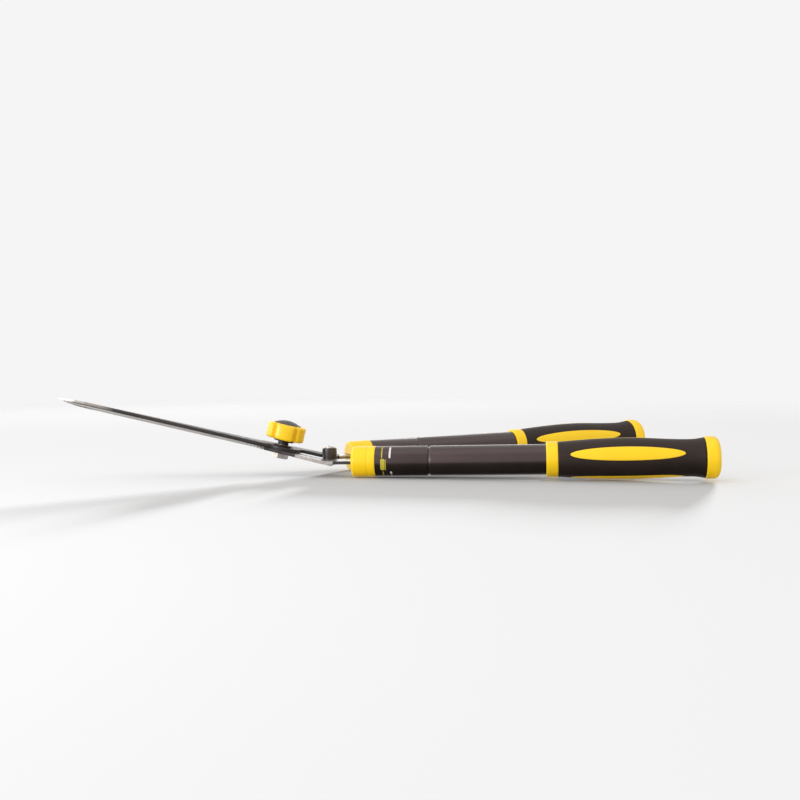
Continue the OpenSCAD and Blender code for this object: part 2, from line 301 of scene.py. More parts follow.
def new_material(name):
    """A material, its tree, its shader and the place on the piece in metres."""
    material = bpy.data.materials.new(name)
    material.use_nodes = True
    tree = material.node_tree
    place = node(tree, "ShaderNodeTexCoord").outputs["Object"]
    return material, tree, tree.nodes["Principled BSDF"], place


def new_group(name, inputs, outputs):
    """An empty shader group: inputs are (name, default), outputs are names."""
    group = bpy.data.node_groups.new(name, "ShaderNodeTree")
    for label, default in inputs:
        kind = "NodeSocketVector" if default is None else "NodeSocketFloat"
        socket = group.interface.new_socket(label, in_out="INPUT", socket_type=kind)
        if default is not None:
            socket.default_value = default
    for label in outputs:
        group.interface.new_socket(label, in_out="OUTPUT", socket_type="NodeSocketFloat")
    start = group.nodes.new("NodeGroupInput")
    end = group.nodes.new("NodeGroupOutput")
    return group, start.outputs, end.inputs


def build_edge_wear():
    """White on worn edges and corners, broken up by two sizes of noise."""
    group, given, out = new_group("Edge wear", [("Place", None), ("Radius", 0.0004),
                                                ("Amount", 0.5), ("Breakup", 900.0)], ["Wear"])
    bevel = node(group, "ShaderNodeBevel", {"Radius": given["Radius"]}, samples=6)
    face = node(group, "ShaderNodeNewGeometry")
    cosine = node(group, "ShaderNodeVectorMath", {0: bevel.outputs[0], 1: face.outputs["Normal"]},
                  operation="DOT_PRODUCT")
    edge = ranged(group, cosine.outputs["Value"], 0.995, 0.90)
    broken = node(group, "ShaderNodeTexNoise", {"Vector": given["Place"],
                                                "Scale": given["Breakup"], "Detail": 4.0})
    limit = node(group, "ShaderNodeMath", {0: 1.0, 1: given["Amount"]}, operation="SUBTRACT")
    chips = node(group, "ShaderNodeMath", {0: broken.outputs[0], 1: limit.outputs[0]},
                 operation="SUBTRACT")
    group.links.new(scaled(group, edge, ranged(group, chips.outputs[0], 0.0, 0.12)), out["Wear"])
    return group


def build_surface_noise():
    """Slow patches and fine speckle, both from 0 to 1."""
    group, given, out = new_group("Surface noise", [("Place", None), ("Patch scale", 40.0),
                                                    ("Speckle scale", 1500.0)],
                                  ["Patches", "Speckle"])
    for label, scale, detail in (("Patches", "Patch scale", 3.0), ("Speckle", "Speckle scale", 2.0)):
        noise = node(group, "ShaderNodeTexNoise", {"Vector": given["Place"],
                                                   "Scale": given[scale], "Detail": detail})
        group.links.new(ranged(group, noise.outputs[0], 0.3, 0.7), out[label])
    return group


def build_grain():
    """Fine parallel lines, as a grinding wheel or brush leaves them across the part's Y."""
    group, given, out = new_group("Grain", [("Place", None), ("Across", 2500.0),
                                            ("Along", 60.0)], ["Lines"])
    stretch = node(group, "ShaderNodeCombineXYZ", {0: given["Across"], 1: given["Along"],
                                                   2: given["Along"]})
    place = node(group, "ShaderNodeVectorMath", {0: given["Place"], 1: stretch.outputs[0]},
                 operation="MULTIPLY")
    noise = node(group, "ShaderNodeTexNoise", {"Vector": place.outputs[0], "Scale": 1.0,
                                               "Detail": 3.0})
    group.links.new(ranged(group, noise.outputs[0], 0.25, 0.75), out["Lines"])
    return group


edge_wear = build_edge_wear()
surface_noise = build_surface_noise()
grain = build_grain()


def use(tree, group, ins):
    """A shared effect placed in a material with its own values."""
    return node(tree, "ShaderNodeGroup", ins, node_tree=group).outputs


def blended(tree, amount, first, second):
    """One colour turned into another by an amount from 0 to 1."""
    ends = [c if isinstance(c, bpy.types.NodeSocket) else (*c, 1) for c in (first, second)]
    mix = node(tree, "ShaderNodeMix", {0: amount, 6: ends[0], 7: ends[1]}, data_type="RGBA")
    return mix.outputs[2]


def bumped(tree, shader, height, depth):
    """Fine relief on a surface, with its depth in metres."""
    bump = node(tree, "ShaderNodeBump", {"Height": height, "Distance": depth})
    tree.links.new(bump.outputs[0], shader.inputs["Normal"])


def ground_steel():
    """Bright steel with grinding lines across the blade and faint heat and handling patches."""
    material, tree, shader, place = new_material("ground_steel")
    lines = use(tree, grain, {"Place": place, "Across": 3200.0, "Along": 90.0})["Lines"]
    spots = use(tree, surface_noise, {"Place": place, "Patch scale": 55.0,
                                      "Speckle scale": 900.0})
    wear = use(tree, edge_wear, {"Place": place, "Radius": 0.0003, "Amount": 0.6})["Wear"]
    colour = blended(tree, spots["Patches"], (0.60, 0.585, 0.565), (0.47, 0.455, 0.44))
    colour = blended(tree, scaled(tree, wear, 0.7), colour, (0.80, 0.79, 0.78))
    tree.links.new(colour, shader.inputs["Base Color"])
    shader.inputs["Metallic"].default_value = 1.0
    tree.links.new(ranged(tree, lines, 0, 1, 0.24, 0.40), shader.inputs["Roughness"])
    bumped(tree, shader, lines, 0.00002)
    return material


def sheared_steel():
    """The stamped edge of the plate: a smooth rolled part and torn grey metal."""
    material, tree, shader, place = new_material("sheared_steel")
    streaks = use(tree, grain, {"Place": place, "Across": 1400.0, "Along": 260.0})["Lines"]
    spots = use(tree, surface_noise, {"Place": place, "Patch scale": 260.0,
                                      "Speckle scale": 2400.0})
    colour = blended(tree, streaks, (0.30, 0.28, 0.265), (0.56, 0.53, 0.505))
    colour = blended(tree, scaled(tree, spots["Patches"], 0.45), colour, (0.24, 0.22, 0.20))
    tree.links.new(colour, shader.inputs["Base Color"])
    shader.inputs["Metallic"].default_value = 0.85
    tree.links.new(ranged(tree, spots["Speckle"], 0, 1, 0.42, 0.62), shader.inputs["Roughness"])
    bumped(tree, shader, streaks, 0.00012)
    return material


def black_coat():
    """Thin baked black coat with a slight orange peel, rubbed to metal on its edges."""
    material, tree, shader, place = new_material("black_coat")
    spots = use(tree, surface_noise, {"Place": place, "Patch scale": 60.0,
                                      "Speckle scale": 1900.0})
    wear = use(tree, edge_wear, {"Place": place, "Radius": 0.00035, "Amount": 0.47,
                                 "Breakup": 500.0})["Wear"]
    along = node(tree, "ShaderNodeSeparateXYZ", {0: place}).outputs[0]
    ragged = node(tree, "ShaderNodeMath", {0: scaled(tree, spots["Patches"], 0.012), 1: along},
                  operation="ADD").outputs[0]
    rubbed = ranged(tree, ragged, coat_gone, coat_whole, 1.0, 0.0)
    bare = node(tree, "ShaderNodeMath", {0: wear, 1: rubbed}, operation="MAXIMUM").outputs[0]
    colour = blended(tree, spots["Patches"], (0.018, 0.015, 0.014), (0.032, 0.027, 0.025))
    colour = blended(tree, bare, colour, (0.36, 0.33, 0.31))
    tree.links.new(colour, shader.inputs["Base Color"])
    tree.links.new(scaled(tree, bare, 0.9), shader.inputs["Metallic"])
    tree.links.new(ranged(tree, spots["Patches"], 0, 1, 0.34, 0.46), shader.inputs["Roughness"])
    bumped(tree, shader, spots["Speckle"], 0.00002)
    return material


ground_material = ground_steel()
sheared_material = sheared_steel()
coat_material = black_coat()


def make_piece(name, points, faces, place, materials, angle=32, face_material=None):
    """A mesh piece from points in millimetres, smooth with crisp edges above the angle."""
    mesh = bpy.data.meshes.new(name)
    mesh.from_pydata([Vector(p) * mm for p in points], [], faces)
    bm = bmesh.new()
    bm.from_mesh(mesh)
    bmesh.ops.remove_doubles(bm, verts=bm.verts, dist=1e-7)
    if not face_material:
        bmesh.ops.recalc_face_normals(bm, faces=bm.faces)
    bm.to_mesh(mesh)
    bm.free()
    for material in materials:
        mesh.materials.append(material)
    mesh.polygons.foreach_set("use_smooth", [True] * len(mesh.polygons))
    if face_material:
        for polygon in mesh.polygons:
            polygon.material_index = face_material(polygon.center / mm, polygon.normal)
    mesh.set_sharp_from_angle(angle=math.radians(angle))
    piece = bpy.data.objects.new(name, mesh)
    bpy.context.scene.collection.objects.link(piece)
    piece.matrix_world = place
    return piece


def fix(piece, body, finish, *nodes):
    """Sets a finished piece in the frame, on its body, with the nodes it shows. The finish is not used."""
    piece.data.transform(piece.matrix_world)
    piece.matrix_world = Matrix.Identity(4)
    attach(piece, body)
    if nodes:
        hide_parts(*nodes)


def smooth_step(x, low, high):
    """0 before low, 1 after high, and an easy curve from one to the other."""
    t = min(1.0, max(0.0, (x - low) / (high - low)))
    return t * t * (3 - 2 * t)


def between(x, low, high, y_low, y_high):
    """Y at x on the straight line from (low, y_low) to (high, y_high)."""
    return y_low + (y_high - y_low) * (x - low) / (high - low)


middle_place = placed(pivot, mid_axis, handle_up)
splay = math.acos(max(-1, min(1, lower_axis.dot(mid_axis))))
upper_end = Vector(mounts["upper_cap_end"]["pos_m"])
upper_place = placed(upper_end, upper_axis, handle_up)
handle_length = -extent("upper_collar", upper_place)[0].x
bar_start = (upper_end - upper_axis * handle_length * mm - pivot) / mm
stop_low, stop_high = extent("bumper", middle_place)
stop_centre = (stop_low + stop_high) / 2


def bar_edge(x, side):
    """Y of one edge of the straight bar at plan distance x: side is 1 outside, -1 inside."""
    return bar_start.y + (x - bar_start.x) * math.tan(splay) + side * bar_half / math.cos(splay)


waist_y = bar_edge(waist_x, 1) - waist_in


def spine_edge(x, tip, ear):
    """Y of the plate's lower edge in plan: the spine, the boss, the inner tang edge, the bar."""
    if x < tip + point_run:
        return between(x, tip, tip + point_run, tip_y, point_spine)
    if x < heel_x:
        return between(x, tip + point_run, heel_x, point_spine, heel_spine)
    if x < -heel_x:
        arc = -math.sqrt(boss_radius ** 2 - x ** 2)
        return between(x, heel_x, -6, heel_spine, arc) if x < -6 else arc
    inner_start = inner_edge - inner_taper
    if x < tang_x:
        return between(smooth_step(x, 13, tang_x), 0, 1, boss_inner, inner_start)
    inner = between(x, tang_x, shoulder, inner_start, inner_edge)
    bar_from = shoulder + shoulder_run
    if x > shoulder:
        inner = between(x, shoulder, bar_from, inner_edge, bar_edge(bar_from, -1))
    if x > bar_from:
        inner = bar_edge(x, -1)
    inside = ear_radius ** 2 - (x - stop_centre.x) ** 2
    if ear and inside > 0:
        inner = min(inner, -stop_centre.y - math.sqrt(inside))
    return inner


def cutting_edge(x, tip):
    """Y of the plate's upper edge in plan: the cutting edge, the boss, the outer tang edge."""
    if x < heel_x:
        return between(x, tip, heel_x, tip_y, heel_edge)
    if x < 0:
        return between(smooth_step(x, heel_x - 2, 0), 0, 1, heel_turn, boss_outer)
    if x < waist_x:
        return between(x, 0, waist_x, boss_outer, waist_y)
    return min(bar_edge(x, 1),
               between(x, waist_x, outer_run, waist_y, bar_edge(outer_run, 1)))


def tooth_notch(x):
    """How far a saw tooth's notch comes in at x: V notches with round bottoms."""
    run = (heel_x - first_tooth - x) / tooth_pitch
    if run < -0.5 or run > teeth - 0.5:
        return 0.0
    return tooth_depth * max(0.0, 1 - abs(run - round(run)) * tooth_slope) ** 0.8


def blade_stations(tip, middle):
    """Plan distances of the cross-sections: close where the outline or the plate turns."""
    teeth_from = -40
    teeth_step = 0.34
    long_run = teeth_from - tip - point_run
    stations = [tip, tip + 0.5, tip + 1.5, tip + 4, tip + 8]
    # The long taper, the teeth, the boss and the hollow corner behind it.
    stations += [tip + point_run + i * 4 for i in range(int(long_run / 4) + 1)]
    stations += [teeth_from + i * teeth_step for i in range(1, 77)]
    stations += [heel_x + i for i in range(1, 28)]
    stations += [13.5, 14, 14.5, 15.5, 16.3, 17, 17.7, 18.5]
    # The tang, the ear and the shoulder, the bar, and the bend of the crank.
    stations += [tang_x + i * 2 for i in range(0, 9)]
    stations += [37.5 + i * 0.5 for i in range(0, 36)]
    stations += [bar_highlight_from + i * 4 for i in range(0, 18)]
    turn = bend_distance(middle) * math.cos(blade_tilt)
    stations += [turn + crank_reach * i / 3 for i in range(-3, 4)]
    return sorted(set(round(s, 3) for s in stations))


def bend_distance(middle):
    """Distance along the blade at which a plate whose middle is at this height is cranked."""
    drop = middle * math.cos(blade_tilt) - bar_start.z
    rise = math.tan(handle_pitch) * (bar_start.x - middle * math.sin(blade_tilt))
    return (drop + rise) / (math.sin(blade_tilt) + math.tan(handle_pitch) * math.cos(blade_tilt))


def cranked(x, middle, height):
    """Blade-frame X and Z of a point on the cranked plate, for plan distance x."""
    along = x / math.cos(blade_tilt) if x > 0 else x
    turn = bend_distance(middle)
    angle = blade_tilt + handle_pitch
    if along < turn - crank_reach:
        return along, middle + height
    if along > turn + crank_reach:
        rest = turn + (along - turn) * math.cos(angle)
        lift = (along - turn) * math.sin(angle)
        return rest - height * math.sin(angle), middle + lift + height * math.cos(angle)
    t = (along - turn + crank_reach) / (2 * crank_reach)
    rest = turn - crank_reach * (1 - t) ** 2 + crank_reach * math.cos(angle) * t ** 2
    lift = crank_reach * math.sin(angle) * t ** 2
    lean = angle * t
    return rest - height * math.sin(lean), middle + lift + height * math.cos(lean)


def blade_section(x, tip, lower):
    """One cross-section as (y, height) points, from the spine's underside round and back."""
    low = spine_edge(x, tip, lower)
    high = cutting_edge(x, tip)
    bottom, top = -plate / 2, plate / 2
    width = max(high - low, edge_burr)
    bevel_end = heel_x + 1
    runout = smooth_step(x, heel_x - bevel_runout, bevel_end)
    ground = bevel_width * (1 - runout) if x < bevel_end else 0.0
    slope = (plate - edge_land) / bevel_width
    thin = top - slope * ground
    high -= tooth_notch(x) if lower else 0.0
    inner = max(high - ground, low + width * 0.25)
    spine_top = min(top, thin + slope * max(0.0, high - low)) if ground else top
    soft = min(edge_round, width * 0.2)
    points = [(low + soft, bottom), (low + soft * 0.3, bottom + soft * 0.3),
              (low, bottom + soft), (low, spine_top - soft),
              (low + soft * 0.3, spine_top - soft * 0.3), (low + soft, spine_top)]
    points.append(((low + inner) / 2, spine_top))
    if ground > 0:
        rise = min(top, thin + slope * (high - inner))
        points.append((inner, rise))
        for share in (0.33, 0.67):
            sag = hollow_grind * 4 * share * (1 - share) * ground / bevel_width
            points.append((inner + (high - inner) * share, rise + (thin - rise) * share - sag))
        points.append((high, thin))
        points.append((high, bottom + edge_burr))
    else:
        flat = 1.5
        for share in (0.0, 0.33, 0.67):
            points.append((inner - flat + (flat - soft) * share, top))
        points.append((high - soft * 0.3, top - soft * 0.3))
        points.append((high, top - soft))
    points.append((high - (0.0 if ground else soft), bottom))
    points.append(((low + high) / 2, bottom))
    return points


def make_blade(name, tip, lower, materials, face_material):
    """A blade, its crank and its bar as one run of cross-sections, drilled for the bolt."""
    side = -1 if lower else 1
    middle = side * (plate_gap + plate) / 2
    points, faces, rings = [], [], []
    for x in blade_stations(tip, middle):
        ring = []
        for y, height in blade_section(x, tip, lower):
            shear = -(y - bar_start.y) * math.tan(splay) * smooth_step(x, *bar_turn)
            px, pz = cranked(x + shear, middle, side * height)
            ring.append(len(points))
            points.append((px, side * y, pz))
        rings.append(ring)
    count = len(rings[0])
    for one, two in zip(rings, rings[1:]):
        for i in range(count):
            j = (i + 1) % count
            faces.append((one[i], two[i], two[j], one[j]))
    faces.append(tuple(reversed(rings[0])))
    faces.append(tuple(rings[-1]))
    piece = make_piece(name, points, faces, blade_place, materials, angle=24,
                       face_material=face_material)
    bore(piece, bolt_hole, -8, 8)
    return piece


def bore(piece, radius, low, high):
    """Drills a round hole along the piece's own Z."""
    cutter_mesh = bpy.data.meshes.new("drill")
    bm = bmesh.new()
    bmesh.ops.create_cone(bm, cap_ends=True, segments=48, radius1=radius * mm,
                          radius2=radius * mm, depth=(high - low) * mm)
    bmesh.ops.translate(bm, verts=bm.verts, vec=(0, 0, (high + low) / 2 * mm))
    bm.to_mesh(cutter_mesh)
    bm.free()
    cut(piece, cutter_mesh)


def cut(piece, cutter_mesh):
    """Takes one closed mesh, given in the piece's own frame, out of the piece."""
    cutter = bpy.data.objects.new("cutter", cutter_mesh)
    bpy.context.scene.collection.objects.link(cutter)
    cutter.matrix_world = piece.matrix_world
    modifier = piece.modifiers.new("cut", "BOOLEAN")
    modifier.operation = "DIFFERENCE"
    modifier.solver = "EXACT"
    modifier.object = cutter
    bpy.context.view_layer.update()
    result = bpy.data.meshes.new_from_object(
        piece.evaluated_get(bpy.context.evaluated_depsgraph_get()))
    piece.modifiers.clear()
    piece.data = result
    bpy.data.objects.remove(cutter)


def lower_face(centre, normal):
    """Ground steel on the faces, torn metal on the tang's stamped edge, and black coat on the side
    edges of the boss, the teeth and the bar as painted shade."""
    if abs(normal.y) < 0.8:
        return 0
    # Painted shade: black coat on the side edges where the teeth, boss and bar lie in shade.
    if shade_edge_span[0] < centre.x < shade_edge_span[1] or centre.x > bar_shade_from:
        return 2
    return 1 if centre.x > 0 else 0


def upper_face(centre, normal):
    """Black coat all over, except the ground bevel, and bare steel on the bar from its shoulder back
    as a painted highlight.
    """
    # Painted highlight: bare steel on the bar where it catches the light.
    if centre.x > bar_highlight_from:
        return 1
    bevel_from = cutting_edge(centre.x, upper_tip) - bevel_width - 0.1
    on_bevel = centre.x < heel_x + 1 and centre.y > bevel_from
    return 1 if on_bevel and normal.z < 0.999 and centre.z > 0.2 else 0


lower_blade = make_blade("lower_blade_plate", lower_tip, True,
                         [ground_material, sheared_material, coat_material], lower_face)
upper_blade = make_blade("upper_blade_plate", upper_tip, False,
                         [coat_material, ground_material], upper_face)
fix(lower_blade, "lower_half", "ground_blade", "lower_blade")
fix(upper_blade, "upper_half", "black_blade", "upper_blade")


# ---- Pivot bolt and washer -------------------------------------------------------------------
# A zinc-plated hexagon bolt comes up through both plates from below. The flat steel washer
#  on the upper blade is pressed by the neck of the knob's insert; both are coloured dark as painted shade under
#  the knob.
bolt_flats = 13
bolt_turn = 38
shank_radius = 4.0
shank_chamfer = 0.8
head_chamfer = 0.55
head_circle = 0.985
axis_hole = 0.01


def zinc_plate():
    """Zinc plating: pale blue-grey metal with a faint spangle and small rubbed spots."""
    material, tree, shader, place = new_material("zinc_plate")
    spangle = node(tree, "ShaderNodeTexVoronoi", {"Vector": place, "Scale": 700.0})
    spots = use(tree, surface_noise, {"Place": place, "Patch scale": 180.0,
                                      "Speckle scale": 2600.0})
    wear = use(tree, edge_wear, {"Place": place, "Radius": 0.0003, "Amount": 0.55})["Wear"]
    tone = scaled(tree, spangle.outputs["Distance"], 0.55)
    colour = blended(tree, tone, (0.78, 0.73, 0.69), (0.58, 0.54, 0.51))
    colour = blended(tree, scaled(tree, wear, 0.6), colour, (0.86, 0.84, 0.80))
    tree.links.new(colour, shader.inputs["Base Color"])
    shader.inputs["Metallic"].default_value = 1.0
    tree.links.new(ranged(tree, spots["Patches"], 0, 1, 0.34, 0.46), shader.inputs["Roughness"])
    bumped(tree, shader, spots["Speckle"], 0.00001)
    return material


def washer_steel():
    """Plain rolled steel of the washers: fine lines one way and a slightly darker tone."""
    material, tree, shader, place = new_material("washer_steel")
    lines = use(tree, grain, {"Place": place, "Across": 2600.0, "Along": 120.0})["Lines"]
    colour = blended(tree, lines, (0.42, 0.41, 0.40), (0.60, 0.585, 0.57))
    tree.links.new(colour, shader.inputs["Base Color"])
    shader.inputs["Metallic"].default_value = 1.0
    tree.links.new(ranged(tree, lines, 0, 1, 0.26, 0.40), shader.inputs["Roughness"])
    bumped(tree, shader, lines, 0.00001)
    return material


def shade_dark_steel():
    """Steel coloured dark brown-grey as painted shade, for the parts clamped at the pivot under the knob."""
    material, tree, shader, place = new_material("shade_dark_steel")
    spots = use(tree, surface_noise, {"Place": place, "Patch scale": 220.0,
                                      "Speckle scale": 2200.0})
    wear = use(tree, edge_wear, {"Place": place, "Radius": 0.0003, "Amount": 0.45})["Wear"]
    colour = blended(tree, spots["Patches"], (0.050, 0.043, 0.040), (0.090, 0.080, 0.074))
    colour = blended(tree, scaled(tree, wear, 0.6), colour, (0.30, 0.28, 0.26))
    tree.links.new(colour, shader.inputs["Base Color"])
    shader.inputs["Metallic"].default_value = 0.8
    tree.links.new(ranged(tree, spots["Speckle"], 0, 1, 0.34, 0.48), shader.inputs["Roughness"])
    bumped(tree, shader, spots["Speckle"], 0.00001)
    return material


zinc_material = zinc_plate()
washer_material = washer_steel()
shade_dark_material = shade_dark_steel()


def rounded(corners, steps=4):
    """A line through corners given as (a, b) or (a, b, radius), with its corners rounded."""
    line = []
    for i, corner in enumerate(corners):
        point = Vector(corner[:2])
        if len(corner) == 2:
            line.append(tuple(point))
            continue
        back = (Vector(corners[i - 1][:2]) - point).normalized()
        ahead = (Vector(corners[(i + 1) % len(corners)][:2]) - point).normalized()
        half = back.angle(ahead) / 2
        centre = point + (back + ahead).normalized() * corner[2] / math.sin(half)
        start = point + back * corner[2] / math.tan(half) - centre
        end = point + ahead * corner[2] / math.tan(half) - centre
        first = math.atan2(start.y, start.x)
        sweep = (math.atan2(end.y, end.x) - first + math.pi) % (2 * math.pi) - math.pi
        line += [(centre.x + corner[2] * math.cos(first + sweep * k / steps),
                  centre.y + corner[2] * math.sin(first + sweep * k / steps))
                 for k in range(steps + 1)]
    return line


def turned(name, profile, place, material, axis="Z", steps=96, angle=32):
    """A turned piece from (distance along the axis, radius) points. A profile that starts and
    ends on the axis makes a solid; any other one is closed into a ring."""
    points, rings, faces = [], [], []
    for along, radius in profile:
        count = steps if radius > 1e-6 else 1
        ring = []
        for i in range(count):
            a = 2 * math.pi * i / steps
            u, v = radius * math.cos(a), radius * math.sin(a)
            ring.append(len(points))
            points.append((along, u, v) if axis == "X" else (u, v, along))
        rings.append(ring)
    closed = len(rings[0]) > 1 and len(rings[-1]) > 1
    pairs = list(zip(rings, rings[1:])) + ([(rings[-1], rings[0])] if closed else [])
    for one, two in pairs:
        for i in range(steps):
            j = (i + 1) % steps
            corners = (one[i % len(one)], one[j % len(one)], two[j % len(two)],
                       two[i % len(two)])
            kept = tuple(dict.fromkeys(corners))
            if len(kept) > 2:
                faces.append(kept)
    return make_piece(name, points, faces, place, [material], angle)


def hexagon(angle, flats):
    """Distance from the axis to a hexagon's side, in a direction given in degrees."""
    return flats / 2 / math.cos(math.radians((angle + 30) % 60 - 30))


def stacked(name, rings, turn, place, material, angle):
    """A solid built up from rings round its axis. A ring holds one (radius, z) per direction."""
    steps = len(rings[0])
    points, faces = [], []
    for ring in rings:
        for i, (radius, z) in enumerate(ring):
            a = math.radians(360 * i / steps + turn)
            points.append((radius * math.cos(a), radius * math.sin(a), z))
    for first in range(0, len(points) - steps, steps):
        for i in range(steps):
            j = (i + 1) % steps
            faces.append((first + i, first + j, first + steps + j, first + steps + i))
    faces.append(tuple(reversed(range(steps))))
    faces.append(tuple(range(len(points) - steps, len(points))))
    return make_piece(name, points, faces, place, [material], angle)


def hex_piece(name, flats, low, high, turn, place, material, above):
    """A hexagon with both end faces chamfered like a bolt head, and round steps above it, each
    given as (z, radius)."""
    steps = 120
    circle = flats / 2 * head_circle
    sides = [hexagon(360 * i / steps, flats) for i in range(steps)]
    rings = [[(axis_hole, low)] * steps, [(circle, low)] * steps]
    rings.append([(radius, low + (radius - circle) * head_chamfer) for radius in sides])
    rings.append([(radius, high - (radius - circle) * head_chamfer) for radius in sides])
    rings.append([(circle, high)] * steps)
    rings += [[(radius, z)] * steps for z, radius in above]
    rings.append([(axis_hole, above[-1][0])] * steps)
    return stacked(name, rings, turn, place, material, angle=25)


bolt_low, bolt_high = extent("pivot_bolt", blade_place)
top_face = plate_gap / 2 + plate
shank = [(-top_face, shank_radius + 0.4), (-top_face + 0.4, shank_radius),
         (bolt_high.z - shank_chamfer, shank_radius),
         (bolt_high.z, shank_radius - shank_chamfer)]
pivot_bolt = hex_piece("pivot_bolt_hex", bolt_flats, bolt_low.z, -top_face, bolt_turn,
                       blade_place, zinc_material, shank)
fix(pivot_bolt, "lower_half", "zinc_steel", "pivot_bolt")

washer_low, washer_high = extent("pivot_washer", blade_place)
# Painted shade: the washer is coloured dark steel for the shade under the knob.
pivot_washer = turned("pivot_washer_disc",
                      rounded([(washer_low.z, bolt_hole), (washer_low.z, washer_high.x, 0.2),
                               (washer_high.z, washer_high.x, 0.35),
                               (washer_high.z, bolt_hole)]),
                      blade_place, shade_dark_material)
fix(pivot_washer, "upper_half", "washer_steel", "pivot_washer")


# ---- Star knob -------------------------------------------------------------------------------
# A five-lobed yellow plastic knob moulded round a threaded steel insert, with a thin black
# nylon washer under it and a dark domed cap pressed into its top.
lobes = 5
knob_radius = 18.0
first_lobe = -95
valley_depth = 3.6
valley_half = 6.2
knob_round = 2.2
knob_recess = 1.2
knob_rim = (9.6, 10.2)
cap_seat = 0.5
cap_seat_radius = (12.6, 12.9)
hub_radius = 7.0
neck_radius = 5.0
insert_radius = 7.4
nylon_bore = 5.3


def moulded(name, colour, shade, rough, texture, depth, coat=0.0, wear_colour=None, specular=0.5,
            tint=(1.0, 0.92, 0.88)):
    """Moulded plastic or rubber: a mould texture, slow colour drift and scuffed edges."""
    material, tree, shader, place = new_material(name)
    spots = use(tree, surface_noise, {"Place": place, "Patch scale": 45.0,
                                      "Speckle scale": texture})
    paint = blended(tree, scaled(tree, spots["Patches"], 0.6), colour, shade)
    if wear_colour:
        wear = use(tree, edge_wear, {"Place": place, "Radius": 0.0005, "Amount": 0.42,
                                     "Breakup": 700.0})["Wear"]
        paint = blended(tree, scaled(tree, wear, 0.5), paint, wear_colour)
    tree.links.new(paint, shader.inputs["Base Color"])
    tree.links.new(ranged(tree, spots["Patches"], 0, 1, rough - 0.04, rough + 0.06),
                   shader.inputs["Roughness"])
    shader.inputs["Coat Weight"].default_value = coat
    shader.inputs["Coat Roughness"].default_value = 0.12
    shader.inputs["Specular IOR Level"].default_value = specular
    shader.inputs["Specular Tint"].default_value = (*tint, 1)
    bumped(tree, shader, spots["Speckle"], depth)
    return material


knob_material = moulded("knob_yellow", (0.95, 0.60, 0.006), (0.91, 0.53, 0.004), rough=0.30,
                        texture=1500.0, depth=0.00003, coat=0.2, wear_colour=(0.96, 0.80, 0.25))
cap_grey_material = moulded("cap_grey", (0.055, 0.052, 0.052), (0.075, 0.070, 0.068), rough=0.42,
                            texture=2200.0, depth=0.00005, wear_colour=(0.16, 0.15, 0.15))
nylon_material = moulded("black_nylon", (0.016, 0.015, 0.015), (0.028, 0.026, 0.026), rough=0.5,
                         texture=2600.0, depth=0.00003)


def knob_outline(angle):
    """Radius of the knob in a direction in degrees: a round knob with soft valleys in it."""
    off = (angle - first_lobe) % (360 / lobes) - 180 / lobes
    return knob_radius - valley_depth * math.exp(-(abs(off) / valley_half) ** 2.5)


def make_knob():
    """The lobed body: recessed underside, soft lower corner, side, soft upper corner, seat."""
    low, high = extent("knob", blade_place)
    steps = 200
    outline = [knob_outline(360 * i / steps) for i in range(steps)]
    under = low.z + knob_recess
    seat = high.z - cap_seat
    quarter = [math.radians(a) for a in range(0, 91, 15)]
    path = [(knob_round * (1 - math.sin(a)), low.z + knob_round * (1 - math.cos(a)))
            for a in quarter]
    path.append((0.12, low.z + (high.z - low.z) * 0.5))
    path += [(knob_round * (1 - math.cos(a)), high.z - knob_round * (1 - math.sin(a)))
             for a in quarter]
    tops = [(high.z, cap_seat_radius[1]), (seat, cap_seat_radius[0]), (seat, hub_radius)]
    rings = [[(0.02, under)] * steps, [(6.5, under)] * steps]
    rings += [[(knob_rim[0], under)] * steps, [(knob_rim[1], low.z)] * steps]
    rings += [[(radius - inset, z) for radius in outline] for inset, z in path]
    rings += [[(min(top, radius - knob_round - 0.15), z) for radius in outline]
              for z, top in tops]
    rings.append([(0.02, seat)] * steps)
    return stacked("star_knob", rings, 0, blade_place, knob_material, angle=40)


insert_low, insert_high = extent("knob_insert", blade_place)
knob_low, knob_high = extent("knob", blade_place)
star_knob = make_knob()
# Painted shade: the insert's neck is coloured dark steel for the shade under the knob.
knob_insert = turned("knob_insert_neck",
                     rounded([(insert_low.z, shank_radius + 0.05),
                              (insert_low.z, neck_radius, 0.35), (knob_low.z, neck_radius),
                              (knob_low.z, insert_radius), (insert_high.z, insert_radius),
                              (insert_high.z, shank_radius + 0.05)]),
                     blade_place, shade_dark_material)
ring_low, ring_high = extent("knob_washer", blade_place)
knob_washer = turned("knob_nylon_washer",
                     rounded([(ring_low.z, nylon_bore), (ring_low.z, ring_high.x, 0.3),
                              (ring_high.z, ring_high.x, 0.3), (ring_high.z, nylon_bore)]),
                     blade_place, nylon_material)
cap_low, cap_high = extent("knob_cap", blade_place)
dome_height = cap_high.z - knob_high.z
dome_radius = (cap_high.x ** 2 + dome_height ** 2) / 2 / dome_height
dome_half = math.asin(cap_high.x / dome_radius)
dome = [(knob_high.z + dome_height - dome_radius * (1 - math.cos(dome_half * k / 14)),
         dome_radius * math.sin(dome_half * k / 14)) for k in range(15)]
knob_cap = turned("knob_dome_cap",
                  dome[:-1] + [(knob_high.z + 0.45, cap_high.x - 0.05),
                               (knob_high.z + 0.15, cap_high.x - 0.1),
                               (knob_high.z - 0.4, cap_high.x - 0.4),
                               (knob_high.z - 0.4, 6.8), (cap_low.z, 6.8), (cap_low.z, 0)],
                  blade_place, cap_grey_material, angle=28)
for piece, finish, node_name in ((star_knob, "yellow_knob", "knob"),
                                 (knob_insert, "zinc_steel", "knob_insert"),
                                 (knob_washer, "black_nylon", "knob_washer"),
                                 (knob_cap, "grey_cap", "knob_cap")):
    fix(piece, "knob", finish, node_name)


